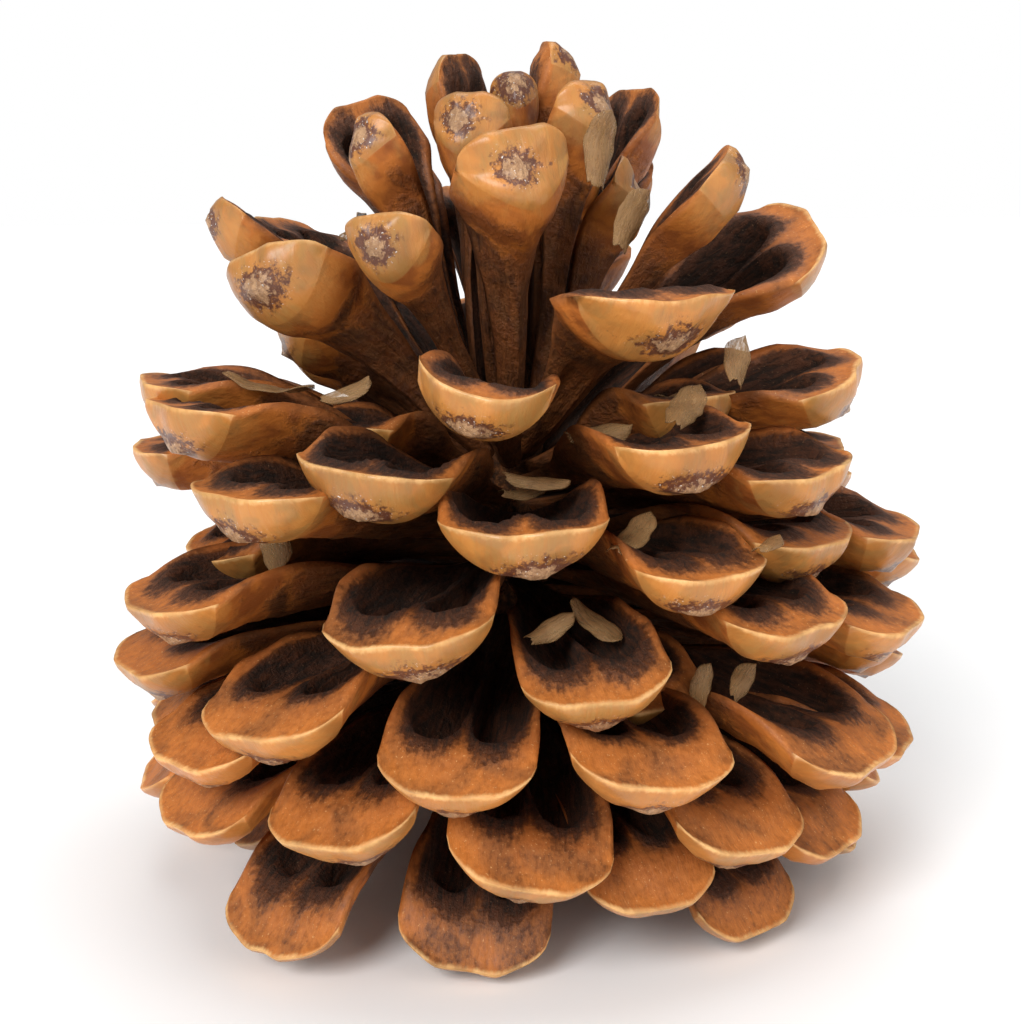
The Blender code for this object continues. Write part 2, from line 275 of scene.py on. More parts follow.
def make_scale_wood():
    wood, tree, shader, fibre = new_material("pine scale wood")
    zones = add_node(tree, "ShaderNodeAttribute", (-2200, 300), attribute_name="zones")
    marks = add_node(tree, "ShaderNodeAttribute", (-2200, 600), attribute_name="marks")
    zone = add_node(tree, "ShaderNodeSeparateColor", (-2000, 300))
    mark = add_node(tree, "ShaderNodeSeparateColor", (-2000, 600))
    wire(tree, zones.outputs["Color"], zone.inputs[0])
    wire(tree, marks.outputs["Color"], mark.inputs[0])
    face, edge, hollow, soot = *zone.outputs[:3], zones.outputs["Alpha"]
    boss, under, along, own = *mark.outputs[:3], marks.outputs["Alpha"]
    streak, blotch, speck, fine, cloud, rays = (fibre.outputs[label] for label in FIBRE_MASKS)

    # Outer end: tan with olive clouds and orange streaks
    end_colour = tint(tree, (-1500, 900), blotch, TAN, OLIVE_TAN, 0.75)
    warm = ramp(tree, (-1700, 760), own, 0.35, 0.95)
    end_colour = tint(tree, (-1300, 900), warm, end_colour, ORANGE, 0.6)
    end_colour = tint(tree, (-1100, 900), rays, end_colour, ORANGE, 0.30)
    end_colour = tint(tree, (-1000, 900), cloud, end_colour, UMBER, 0.30)

    # Upper margin: rust with paler specks
    to_rim = ramp(tree, (-1900, 500), along, 0.84, 0.99)
    glow = sums(tree, (-1700, 500), "MULTIPLY", to_rim, 0.75)
    glow = plus(tree, (-1600, 500), glow, (blotch, 0.25))
    margin = tint(tree, (-1500, 500), glow, RUST, ORANGE)
    margin = tint(tree, (-1300, 500), cloud, margin, UMBER, 0.55)
    margin = tint(tree, (-1200, 560), fine, margin, PALE_DUST_AND_HIGHLIGHT, 0.05)
    margin = tint(tree, (-1100, 500), speck, margin, PALE_DUST_AND_HIGHLIGHT, 0.45)

    # Underside: orange near the end, then rough brown towards the stalk
    reach = plus(tree, (-1700, 160), along, (cloud, -0.14), (fine, -0.05))
    near_end = ramp(tree, (-1300, 160), reach, 0.64, 0.80)
    stalk = tint(tree, (-1500, 20), streak, STALK_BROWN, BARK_BROWN)
    stalk = tint(tree, (-1400, -60), blotch, stalk, RUST, 0.40)
    belly = tint(tree, (-1300, 20), blotch, ORANGE, RUST)
    below = tint(tree, (-1100, 160), near_end, stalk, belly)
    at_corner = ramp(tree, (-1100, 20), reach, 0.84, 0.96)
    below = tint(tree, (-900, 160), at_corner, below, end_colour, 0.75)

    # Above, the stalk end of the scale is brown too, partly its own colour and partly painted shade where
    # it lies deep between the scales, and soot lies round the hollows
    # darker towards the root: stalk brown, partly the wood's colour and partly painted shade
    inner = ramp(tree, (-1100, 320), along, 0.30, 0.55)
    margin = tint(tree, (-900, 500), inner, stalk, margin)
    ash = plus(tree, (-1300, -100), soot, (streak, -0.16), (cloud, 0.22), (fine, -0.30))
    toast = ramp(tree, (-700, 200), ash, -0.40, 0.30)
    above = tint(tree, (-1000, 640), toast, margin, UMBER, 0.60)
    scorch = ramp(tree, (-700, 60), ash, -0.06, 0.42)
    scorch = sums(tree, (-500, 60), "MULTIPLY", scorch, 0.92)
    above = tint(tree, (-900, 640), scorch, above, BARK_BROWN)
    ash = ramp(tree, (-700, -100), ash, 0.20, 0.95)
    dark_red = tint(tree, (-900, -380), streak, SOOT, HOLLOW_RED)
    above = tint(tree, (-700, 500), ash, above, dark_red)
    pit = ramp(tree, (-700, -380), hollow, 0.25, 0.75)
    above = tint(tree, (-500, 500), pit, above, dark_red)
    above = tint(tree, (-400, 500), speck, above, RESIN, 0.16)

    colour = tint(tree, (-300, 500), under, above, below)
    end_mask = ramp(tree, (-500, 760), face, 0.35, 0.65)
    colour = tint(tree, (-100, 600), end_mask, colour, end_colour)

    # Boss of the outer end: purplish brown patch with pale scabs of resin, and painted glints as
    # near-white specks
    patch = plus(tree, (-700, 1150), boss, (fine, -0.50))
    patch = ramp(tree, (-500, 1150), patch, 0.06, 0.36)
    colour = tint(tree, (100, 700), patch, colour, BOSS_BROWN)
    scab = plus(tree, (-700, 1320), boss, (fine, -0.32), (blotch, -0.12))
    scab = ramp(tree, (-300, 1320), scab, 0.46, 0.66)
    crust = tint(tree, (300, 1460), streak, RESIN, UMBER, 0.50)
    colour = tint(tree, (300, 700), scab, colour, crust)
    # painted glints: near-white specks on the boss, where the wood is also made less rough
    painted_glint = ramp(tree, (-300, 1500), boss, 0.12, 0.4)
    painted_glint = sums(tree, (-100, 1500), "MULTIPLY", painted_glint, speck)
    colour = tint(tree, (500, 700), painted_glint, colour, GLINT)

    # Pale line along the edge between the outer end and the upper margin: paler wood and dust, with a
    # painted highlight
    line = plus(tree, (100, 1000), edge, (streak, -0.25))
    line = ramp(tree, (300, 1000), line, 0.16, 0.90)
    broken = add_node(tree, "ShaderNodeMapRange", (500, 1100))
    put(broken, To_Min=0.80, To_Max=0.35)
    wire(tree, blotch, broken.inputs["Value"])
    line = sums(tree, (500, 1000), "MULTIPLY", line, broken.outputs["Result"])
    # painted highlight along the edge, mixed with paler wood and dust
    colour = tint(tree, (700, 700), line, colour, PALE_DUST_AND_HIGHLIGHT)

    # Every scale is a little lighter or darker than the next; the lowest scales are darker still, partly
    # dirt and partly painted shade
    shade = add_node(tree, "ShaderNodeMapRange", (500, 460))
    put(shade, To_Min=0.80, To_Max=1.12)
    wire(tree, own, shade.inputs["Value"])
    lighten = add_node(tree, "ShaderNodeHueSaturation", (900, 700))
    wire(tree, shade.outputs["Result"], lighten.inputs["Value"])
    wire(tree, colour, lighten.inputs["Color"])
    wire(tree, lighten.outputs["Color"], shader.inputs["Base Color"])

    # Waxed outer ends, dull soot and stalks
    gloss = add_node(tree, "ShaderNodeMapRange", (500, 200))
    put(gloss, To_Min=0.46, To_Max=0.34)
    wire(tree, end_mask, gloss.inputs["Value"])
    rough = plus(tree, (700, 200), gloss.outputs["Result"], (ash, 0.35), (fine, 0.12), (painted_glint, -0.3))
    wire(tree, rough, shader.inputs["Roughness"])

    # Relief: fibres on stalks and margins, scabs on the boss
    inside_mask = sums(tree, (300, -100), "SUBTRACT", 1.0, end_mask)
    fibres = sums(tree, (500, -100), "MULTIPLY", streak, inside_mask)
    fibres = sums(tree, (700, -100), "MULTIPLY", fibres, 0.8)
    bark = sums(tree, (300, -260), "SUBTRACT", 1.0, near_end)
    bark = sums(tree, (400, -320), "MULTIPLY", bark, under)
    bark = sums(tree, (450, -380), "ADD", bark, scorch)
    bark = sums(tree, (480, -440), "ADD", bark, 0.15)
    fibres = sums(tree, (800, -100), "MULTIPLY", fibres, bark)
    crumbs = sums(tree, (500, -260), "MULTIPLY", fine, inside_mask)
    crumbs = sums(tree, (600, -260), "MULTIPLY", crumbs, bark)
    scabs = sums(tree, (700, -400), "MULTIPLY", scab, fine)
    height = sums(tree, (900, -100), "ADD", fibres, crumbs)
    height = plus(tree, (1100, -100), height, (scabs, 1.6), (rays, 0.22))
    bump = add_node(tree, "ShaderNodeBump", (1500, -100))
    put(bump, Strength=0.7, Distance=0.00025)
    wire(tree, height, bump.inputs["Height"])
    wire(tree, bump.outputs["Normal"], shader.inputs["Normal"])
    shader.location = (1800, 300)
    wax = sums(tree, (1500, 500), "MULTIPLY", end_mask, 0.30)
    wire(tree, wax, shader.inputs["Coat Weight"])
    shader.inputs["Coat Roughness"].default_value = 0.28
    shader.inputs["IOR"].default_value = 1.5
    shader.inputs["Specular IOR Level"].default_value = 0.30
    tree.nodes["Material Output"].location = (2100, 300)
    return wood


SCALE_WOOD = make_scale_wood()


# Scales
# 123 woody scales grow from the axis in a spiral, each on a thin stalk that broadens to a thick end.
# The upper side holds two seed hollows. They grew as one piece and are shown in rings from the top.
SCALE_COUNT = 123
TURN = 137.5
FIRST_TURN = -36.0
AXIS_TOP = 38.5
AXIS_DROP = 0.4365
AXIS_RADIUS = 6.0
STEPS = (0, 16, 26, 42, 58, 74, 90, 106, 122)
LIFT = (88, 61, 34, 17, 7, -1, -7, -15, -24)
LENGTH = (41.5, 45, 47.5, 50, 52.5, 55, 55, 52, 47.5)
WIDTH = (7, 14, 17.5, 19.2, 19.6, 19.6, 19.6, 19.2, 18)
BACK_SHORT = 2.6

# Scales that grew out of line: degrees turned and lifted, millimetres longer, degrees rolled, and
# width as a share
ODD = {
    0: (0, 0, -4, 0, 0.9),
    1: (0, 0.5, 3.8, 0, 1.15),
    2: (0, 0, -2, 0, 1.2),
    3: (-9, 3, -0.6, 0, 0.85),
    5: (-6, 7, 2.4, 50, 1.2),
    6: (0, 4, -8, 0, 1.0),
    8: (-2, 0, -1.1, 0, 1.08),
    9: (4, -5, 4, 0, 1.35),
    10: (0, -2, 1, 45, 1.4),
    11: (6, 8, 0.6, 0, 0.9),
    13: (-8, 2, -0.8, 0, 0.75),
    14: (0, 10, -8, 0, 1.0),
    16: (-2, 4, -1.4, -20, 1.18),
    18: (0, -12.5, 1.1, 0, 0.92),
    19: (-6, -1.5, 2.4, -30, 0.88),
    21: (3, -2.5, -2, -8, 0.78),
    22: (0, -9, -4, 0, 1.0),
    24: (0, -11.2, 1.6, 0, 1.32),
    26: (10, 5, -1.5, -26, 1.0),
    27: (0, 8, 1, -36, 1.15),
    29: (4, -12.2, -1, 12, 0.96),
    31: (0, 10, -14, 0, 1.0),
    32: (0, -6, -14, 0, 0.9),
    34: (-8, -6, -20, 0, 0.9),
    35: (0, -2, -8, 0, 1.0),
    36: (0, 6, -10, 0, 1.0),
    37: (14.2, -8.3, 0, -5, 0.99),
    40: (0, 4, -1, -15, 1.0),
    42: (1.2, -3.3, -1, 6, 1.05),
    45: (12.3, -3, 1, -5, 0.96),
    47: (-2, 8, 1, 0, 1.0),
    48: (0, 0, -8, 0, 1.0),
    50: (2.8, -2, 0, 0, 1.04),
    52: (-2, 3, -2, 0, 1.0),
    53: (-1.2, -5.6, -4, 0, 1.02),
    55: (-1.7, 6.2, 2, 0, 1.03),
    56: (0, 0, -5, 0, 1.0),
    58: (6.2, -0.3, 0, 0, 0.89),
    60: (0, -2, -11, 0, 1.0),
    63: (1.2, -2, 2, -6, 1.06),
    65: (0, 0, -12, 0, 1.0),
    66: (-1.2, -1.3, 0, 0, 1.0),
    68: (-4, 2, 1, 0, 0.95),
    71: (4.5, -2, -1, -6, 0.93),
    73: (0, 0, -8, 0, 0.95),
    74: (1, 1.7, 0, 0, 1.0),
    76: (-5, -3.7, 1, -6, 1.07),
    79: (0, -6, -18, 0, 0.9),
    81: (0, 3, -1, 0, 0.95),
    82: (0, 0, -5, 0, 0.95),
    84: (-1.2, -2, 0, 3, 0.97),
    86: (0, 0, -5, 0, 0.95),
    87: (6, -5, 0, 0, 1.18),
    89: (-5, 1, 1, 0, 0.95),
    92: (3, 5.3, 1, 6, 1.06),
    94: (0, 0, -6, 0, 0.95),
    97: (-3.8, 1, 1, -9, 1.05),
    100: (-2.2, -0.5, 0, 7, 1.03),
    103: (-1, -5, -1, 0, 0.95),
    105: (0, 3, 0, 11, 1.08),
    110: (-5, -7, 3, 0, 1.0),
    113: (-1, 4, -1, 0, 0.97),
    115: (0, 0, -8, 0, 1.0),
    118: (4, -3.8, -2.2, 8, 1.08),
    119: (0, -3, 0, 0, 1.0),
    120: (0, -0.5, 0, 0, 1.0),
    121: (0, 0.6, 0, 0, 1.0),
    122: (0, -1, 0, 0, 1.0),
}

# The resting plane below the axis zero, and how far off the axis the middle of the cone is
FLOOR_BELOW = 35.8
MIDDLE = (1.67, -1.17)
SHIFT = np.array([-MIDDLE[0], -MIDDLE[1], FLOOR_BELOW])

# One scale: stations along it as shares of its length, and what the real scale measures there, as
# half widths in shares of the width, and then as heights of the side walls and the dish and depths
# of the keel, in millimetres where the scale is 20 mm wide. Scales of the crown differ in two
ROOT_BEHIND = 3.5
AT = (-0.07, 0.15, 0.34, 0.54, 0.77, 0.90, 1.0)
HALF_SHARE = (0.11, 0.13, 0.19, 0.36, 0.452, 0.492, 0.50)
CROWN_HALF = (0.12, 0.14, 0.17, 0.23, 0.38, 0.51, 0.47)
SIDE_RISE = (0.9, 1.0, 1.6, 3.6, 4.7, 3.3, 0.7)
FLOOR_RISE = (0.9, 1.0, 0.9, 0.2, 0.4, 1.1, 0.0)
KEEL_DROP = (1.2, 1.6, 2.0, 3.6, 5.0, 5.7, 6.2)
CROWN_KEEL = (1.4, 1.8, 2.1, 2.4, 4.2, 6.7, 7.2)
# How far the corners of the edge lie behind its middle and above it
CORNER_BACK = 6.0
CORNER_UP = 0.7
# How far the umbo lies behind and below the edge, and the lower edge behind it, in a scale of the
# crown and in a common one
UMBO_BACK = (4.6, 3.4)
UMBO_DROP = (4.5, 5.9)
LOWER_BACK = (9.8, 7.4)
# Depth of the seed hollows, and the least wood below them
HOLLOW_DEPTH = 4.4
HOLLOW_FLOOR = 0.8
# Middle of the hollows as a share of the length, at the numbers in STEPS
HOLLOW_MIDDLE = (0.72, 0.70, 0.68, 0.70, 0.68, 0.64, 0.61, 0.59, 0.58)
HOLLOW_REACH = 0.205
# Where the ridge line lies between the upper and the lower edge of the outer end, as a share
KEEL_AT = 0.62
# How far the outer end bends down, in degrees, at the numbers in STEPS, and between which places,
# in millimetres behind the edge
DROOP = (0, 0, 8, 6, 9, 13, 13, 15, 20)
MORE_DROOP = {24: 18, 29: 8}
BEND_FROM = 17.0
BEND_TO = 5.0
BEND_STEPS = 120
# How much the middle of the edge dips below its corners, in millimetres
RIM_DIP = {29: 2.2, 37: 0.8}
# Scales with lower side walls, as shares
LOW_SIDES = {18: 0.3, 19: 0.6, 21: 0.4, 24: 0.35, 26: 0.5}
# Scales with a blunt outer end, as shares of how far the umbo lies behind the edge
BLUNT = {5: 0.5, 10: 0.5, 18: 0.1, 19: 0.1, 21: 0.5, 26: 0.45}

# Grid of one scale: columns across, rows along the top, down the outer end and back below
COLUMNS = 36
ROWS_ALONG = 31
ROWS_DOWN = 14
ROW_AT = (0.0, 0.32, 0.72, 0.87, 0.975, 1.0)
ROW_COUNT = (0, 5, 16, 23, 28, 31)


def between(values, number):
    return float(np.interp(number, STEPS, values))


def scale_frame(number):
    turn, lift, longer, roll, wider = ODD.get(number, (0, 0, 0, 0, 1.0))
    angle = math.radians(FIRST_TURN + TURN * number + turn)
    rise = math.radians(between(LIFT, number) + lift)
    spin = math.radians(roll)
    out = np.array([math.sin(angle), -math.cos(angle), 0.0])
    side = np.array([math.cos(angle), math.sin(angle), 0.0])
    tall = np.array([0.0, 0.0, 1.0])
    along = out * math.cos(rise) + tall * math.sin(rise)
    up = tall * math.cos(rise) - out * math.sin(rise)
    side, up = side * math.cos(spin) - up * math.sin(spin), up * math.cos(spin) + side * math.sin(spin)
    base = out * min(AXIS_RADIUS, 3.0 + 0.3 * number) + tall * (AXIS_TOP - AXIS_DROP * number)
    length = between(LENGTH, number) + longer - BACK_SHORT * max(0.0, -math.cos(angle))
    return base, along, side, up, length, between(WIDTH, number) * wider


def smooth(low, high, value):
    share = np.clip((value - low) / (high - low), 0.0, 1.0)
    return share * share * (3 - 2 * share)


def sweep(values, at):
    """A smooth curve through the values at the stations AT."""
    stations = np.array(AT)
    values = np.array(values, float)
    slopes = np.gradient(values, stations)
    k = np.clip(np.searchsorted(stations, at) - 1, 0, len(stations) - 2)
    gap = stations[k + 1] - stations[k]
    u = np.clip((at - stations[k]) / gap, 0.0, 1.0)
    low, high = values[k], values[k + 1]
    rise = (2 * u**3 - 3 * u**2 + 1) * low + (u**3 - 2 * u**2 + u) * gap * slopes[k]
    return rise + (3 * u**2 - 2 * u**3) * high + (u**3 - u**2) * gap * slopes[k + 1]


def ripple(draw, x, y, size, count=5):
    """Soft irregular waves, about 1 at most, with bumps of the given size in millimetres."""
    total = np.zeros_like(x)
    for wave in range(count):
        way = draw.uniform(0, 2 * math.pi)
        pitch = 2 * math.pi / (size * draw.uniform(0.7, 1.6))
        phase = draw.uniform(0, 2 * math.pi)
        total = total + np.sin((x * math.cos(way) + y * math.sin(way)) * pitch + phase)
    return total / count * 1.6


def bend_down(x, z, length, droop):
    """Bends the outer end down by droop degrees. The root and the middle of the edge keep their places."""
    line = np.linspace(-ROOT_BEHIND, length, BEND_STEPS)
    heading = smooth(length - BEND_FROM, length - BEND_TO, line)
    lead = heading[line >= 0].mean()
    heading = math.radians(droop / (1 - lead)) * (heading - lead)
    step = line[1] - line[0]
    run = np.concatenate([[0.0], np.cumsum(np.cos(heading[1:]))]) * step
    fall = np.concatenate([[0.0], np.cumsum(np.sin(heading[1:]))]) * step
    at_zero = np.interp(0.0, line, run)
    run = (run - at_zero) * length / (run[-1] - at_zero)
    fall = fall - fall[-1]
    beyond = np.maximum(x - length, 0.0)
    near = np.minimum(x, length)
    turned = np.interp(near, line, heading)
    new_x = np.interp(near, line, run) + beyond + z * np.sin(turned)
    new_z = -np.interp(near, line, fall) + z * np.cos(turned)
    return new_x, new_z


# Each scale draws its own small differences, and its number is added to this one
FIRST_SEED = 1000
# From this number to that one, the high outer ends and the long necks of the crown give way
CROWN_ENDS = (15, 30)
NECK_ENDS = (22, 38)
# The side walls get lower from this number to that one, by this share
WALLS_SINK = (58, 84)
WALLS_SUNK = 0.42
# Width of a full-grown scale, and the widths below which it is a knob, in millimetres
FULL_WIDTH = 20.0
KNOB_BELOW = 13.0
KNOB_RANGE = 6.0
KNOB_ROUND = 0.8
KNOB_SWELL = 0.30
SLIM_LEAST = 0.75
# Waves of the sides, the walls, the edge and the upper side, in millimetres
LEAN = 0.4
SIDE_WAVE = 0.16
WALL_WAVE = 0.30
RIM_WAVE = 0.32
DISH_WAVES = ((6.0, 0.10), (2.6, 0.05))
BELLY_WAVES = ((5.0, 0.16), (2.4, 0.08))
# The two ridges of the outer end: where they meet the edge, how wide the kink is and how far it juts
LEFT_RIDGE = (-0.62, -0.28)
RIGHT_RIDGE = (0.22, 0.60)
KINK_WIDE = 0.26
RIDGE_JUT = 0.42
FACET_WIDE = 28
FACET_RISE = (0.30, 0.50)
# How the outer end is rounded at the ridge line and swells on both sides of it: back, and up or down
ROUNDING = (0.22, 0.16)
SWELLING = (0.42, 0.20)
# The spine of a crown scale, the umbo's pimple and the groove round it, and the waves of the face
SPINE_RISE = 1.5
PIMPLE_RISE = 0.45
GROOVE_DROP = 0.18
SCAB_WAVES = ((1.3, 0.16), (0.8, 0.10))
FACE_WAVE = 0.07
# One hollow: its middle and half width as shares of the half width of the scale, and its lip
HOLLOW_OUT = 0.465
HOLLOW_HALF = 0.41
LIP_RISE = 0.28
# Dents and crest of the underside, in millimetres
DENT_DEPTH = 1.1
CREST_DROP = 0.5
# How far the umbo lies to the side, and how far its boss, the pale edge line with its painted highlight
# and the scabs reach
UMBO_ASIDE = 0.16
BOSS_WIDE = 3.6
EDGE_WIDE = 0.72
KEEL_SCAB = 0.42
FAR_OFF = 9.0
# Soot round the hollows fades between these two distances, where 1 is the hollow's own edge
SOOT_FADES = (0.98, 1.50)


def scale_grid(number, length, width):
    """Rows and columns of points on one scale, and what the wood is like at each of them."""
    draw = random.Random(FIRST_SEED + number)
    small = width / FULL_WIDTH
    thick = 0.4 + 0.6 * small
    slim = min(1.0, max(SLIM_LEAST, SLIM_LEAST + 0.05 * (width - 14)))
    knob = float(np.clip((KNOB_BELOW - width) / KNOB_RANGE, 0.0, 1.0))
    crown = float(1 - smooth(*CROWN_ENDS, number))
    flat = 1.0 - knob
    broad = 1.0 - crown
    neck = float(1 - smooth(*NECK_ENDS, number))
    umbo_back = (UMBO_BACK[0] * crown + UMBO_BACK[1] * broad) * thick
    umbo_back = umbo_back * (1 - KNOB_ROUND * knob) * BLUNT.get(number, 1.0)
    umbo_drop = (UMBO_DROP[0] * crown + UMBO_DROP[1] * broad) * thick

    # Shares across from -1 to 1 and along from the root to the edge
    level = np.linspace(-1, 1, COLUMNS + 1)
    s = 0.8 * level + 0.2 * np.sin(level * math.pi / 2)
    a = np.abs(s)
    share = np.interp(np.arange(ROWS_ALONG + 1), ROW_COUNT, ROW_AT)
    start = -ROOT_BEHIND / length
    t = (start + (1 - start) * share)[:, None]
    grown = share[:, None]

    # Side outline, with the narrow stalk of each scale
    stalk_slim = 1 - (1 - slim) * (1 - smooth(0.80, 0.97, t))
    half = (sweep(HALF_SHARE, t) * (1 - neck) + sweep(CROWN_HALF, t) * neck) * width * stalk_slim
    half = np.maximum(half, 2.0 - 0.6 * knob)
    lean = draw.uniform(-LEAN, LEAN) * smooth(0.2, 1.0, t)
    y = s * half + lean
    free_side = smooth(0.3, 0.6, t) * (1 - smooth(0.85, 0.95, t))
    wavy = ripple(draw, t * length, s * 0 + 3.0, 9.0)
    y = y + SIDE_WAVE * small * wavy * s * free_side
    torn = WALL_WAVE * small * ripple(draw, t * length, s * 0, 11.0) * free_side
    walls = (1 - WALLS_SUNK * smooth(*WALLS_SINK, number)) * LOW_SIDES.get(number, 1.0)
    side_z = sweep(SIDE_RISE, t) * small * walls + torn

    # The edge kinks where the ridges of the outer end meet it
    ridges = [draw.uniform(*LEFT_RIDGE), draw.uniform(*RIGHT_RIDGE)]
    kink = sum(np.clip(1 - np.abs(s - ridge) / KINK_WIDE, 0, 1) for ridge in ridges)
    rounded = 1 - np.sqrt(np.clip(1 - a ** (2.4 + 0.8 * crown * flat), 0, 1))
    rounded = rounded * (broad + crown * (0.95 + 0.4 * knob))
    rim_x = length - CORNER_BACK * small * rounded
    rim_x = rim_x + RIDGE_JUT * small * (kink - 0.4) * flat * (1 - a**4)
    rim_z = (CORNER_UP + RIM_DIP.get(number, 0)) * small * a**3
    rim_z = rim_z + RIM_WAVE * small * ripple(draw, s * width / 2, s * 0, 11.0) * (1 - a**2)

    # Upper side: raised side walls, a shallow dish, two seed hollows with a ridge between them
    x_top = t * length + (rim_x - length) * grown
    floor_z = sweep(FLOOR_RISE, t) * small
    wall = a ** (2.2 + 3.2 * smooth(0.5, 0.8, t))
    z_top = floor_z * (1 - wall) + side_z * wall
    rim_share = smooth(0.86, 1.0, t)
    z_top = z_top * (1 - rim_share) + rim_z * rim_share
    front = between(HOLLOW_MIDDLE, number) + draw.uniform(-0.012, 0.02)
    reach_s = (a - HOLLOW_OUT) / HOLLOW_HALF
    reach_t = (t - front) / HOLLOW_REACH
    reach_t = np.where(reach_t < 0, reach_t * 0.62, reach_t)
    round_off = (np.abs(reach_s) ** 3.0 + np.abs(reach_t) ** 3.0) ** (1 / 3.0)
    hollow = 1 - smooth(0.78, 1.03, round_off)
    deep = flat * min(1.0, max(0.3, (width - 9) / 8)) * small
    z_top = z_top - HOLLOW_DEPTH * deep * hollow
    lip = np.exp(-((round_off - 1.08) / 0.09) ** 2) * (reach_t > -0.6)
    z_top = z_top + LIP_RISE * deep * lip
    swelling = KNOB_SWELL * width * np.sqrt(np.clip(1 - a**2, 0, 1)) * smooth(0.74, 0.90, t)
    z_top = z_top + knob * swelling * (1 - 0.75 * smooth(0.93, 1.0, t))
    uneven = sum(ripple(draw, x_top, y, size) * height for size, height in DISH_WAVES)
    z_top = z_top + uneven * small * (1 - smooth(0.97, 1.0, t)) * (1 - a**6)

    # Underside: keeled, with a pair of shallow dents behind the thick end
    keel = sweep(KEEL_DROP, t) * (1 - neck) + sweep(CROWN_KEEL, t) * neck
    keel = keel * thick * (1 + 0.05 * draw.uniform(-1, 1))
    pointed = crown * smooth(0.6, 1.0, t)
    arch = np.clip(1 - a ** (2.2 - 0.3 * pointed), 0, 1) ** (0.74 + 0.05 * pointed)
    lower_back = (LOWER_BACK[0] * crown + LOWER_BACK[1] * broad) * (1 - 0.35 * knob)
    low_back = lower_back * thick - CORNER_BACK * small
    x_low = x_top[:, :1] - low_back * (1 - a ** (2.0 - 0.6 * crown)) * grown**2
    z_low = side_z - (side_z + keel) * arch
    dent = np.exp(-(((a - 0.48) / 0.22) ** 2)) * np.exp(-(((t - 0.50) / 0.12) ** 2))
    z_low = z_low + DENT_DEPTH * small * dent
    crest = np.exp(-((a / 0.10) ** 2)) * smooth(0.05, 0.3, t) * (1 - smooth(0.5, 0.7, t))
    z_low = z_low - CREST_DROP * small * crest
    uneven_low = sum(ripple(draw, x_low, y, size) * height for size, height in BELLY_WAVES)
    z_low = z_low + uneven_low * small * arch * (1 - smooth(0.9, 1.0, t))
    floor_least = z_low + HOLLOW_FLOOR * np.minimum(arch * 3, 1)
    z_top = np.where(a < 1, np.maximum(z_top, floor_least), z_top)
    z_low = z_low + (z_top - z_low) * (a == 1)

    # Outer end: from the edge to the ridge line through the umbo, then under it to the lower edge
    umbo_s = draw.uniform(-UMBO_ASIDE, UMBO_ASIDE)
    g = np.linspace(0, 1, ROWS_DOWN + 1)[:, None]
    g = np.where(g < 0.14, g * 0.6, 0.084 + (g - 0.14) * (1 - 0.084) / 0.86)
    ridge_x = length - umbo_back - (length - rim_x[-1] - umbo_back) * a**2.2
    ridge_arch = np.clip(1 - a ** (2.1 - 0.2 * crown), 0, 1) ** (0.78 + 0.05 * crown)
    ridge_z = rim_z - (rim_z + umbo_drop) * ridge_arch
    first = np.clip(g / KEEL_AT, 0, 1)
    second = np.clip((g - KEEL_AT) / (1 - KEEL_AT), 0, 1)
    x_end = rim_x + (ridge_x - rim_x) * first + (x_low[-1] - ridge_x) * second
    z_end = rim_z + (ridge_z - rim_z) * first + (z_low[-1] - ridge_z) * second
    # Round the corner at the ridge line a little and let both fields swell
    soften = np.exp(-(((g - KEEL_AT) / 0.16) ** 2)) * (1 - a**3)
    x_end = x_end - ROUNDING[0] * thick * soften
    z_end = z_end + ROUNDING[1] * thick * soften
    swell = np.sin(math.pi * first) * (1 - a**4)
    x_end = x_end + SWELLING[0] * thick * swell * (1 - 0.6 * crown)
    z_end = z_end - SWELLING[1] * thick * swell
    # Ridges that run from the umbo to the edge, and the boss
    upper_field = math.hypot(umbo_back, umbo_drop)
    lower_field = (lower_back - 2.0) * thick
    above_keel = (1 - g / KEEL_AT) * upper_field
    below_keel = (KEEL_AT - g) / (1 - KEEL_AT) * lower_field
    up_face = np.where(g < KEEL_AT, above_keel, below_keel)
    half_wide = width / 2 * (1 - 0.3 * broad)
    across = (s - umbo_s) * half_wide
    bearing = np.degrees(np.arctan2(across, np.maximum(up_face, 0.01)))
    far = np.sqrt(across**2 + up_face**2)
    facet = np.zeros_like(far)
    for ridge in ridges:
        ridge_bearing = math.degrees(math.atan2((ridge - umbo_s) * half_wide, upper_field))
        facet = np.maximum(facet, 1 - np.abs(bearing - ridge_bearing) / FACET_WIDE)
    facet = np.clip(facet, 0, 1) * smooth(0.8, 3.0, far) * (g < KEEL_AT)
    facet = facet * (1 - smooth(0.45, 0.6, g)) * smooth(0, 0.08, g)
    spine = np.clip(1 - np.abs(across) / (0.34 * width), 0, 1) * smooth(0.62, 0.75, g) * crown
    pimple = np.exp(-((far / (1.5 * thick)) ** 2))
    rough = sum(ripple(draw, across, up_face, size) * height for size, height in SCAB_WAVES)
    groove = np.exp(-(((far - 2.4 * thick) / 0.9) ** 2))
    push = (FACET_RISE[0] + FACET_RISE[1] * crown) * facet
    push = push + SPINE_RISE * spine + PIMPLE_RISE * pimple - GROOVE_DROP * groove
    push = push + rough * np.exp(-((far / (2.6 * thick)) ** 2))
    push = push + FACE_WAVE * ripple(draw, across, up_face, 4.0) * smooth(0, 0.1, g) * (1 - a**4)
    push = push * small * (1 - a**8)
    x_end = x_end + push * (0.84 * broad + 0.45 * crown)
    z_end = z_end - push * (0.54 * broad + 0.85 * crown)
    y_end = np.broadcast_to(y[-1], x_end.shape)

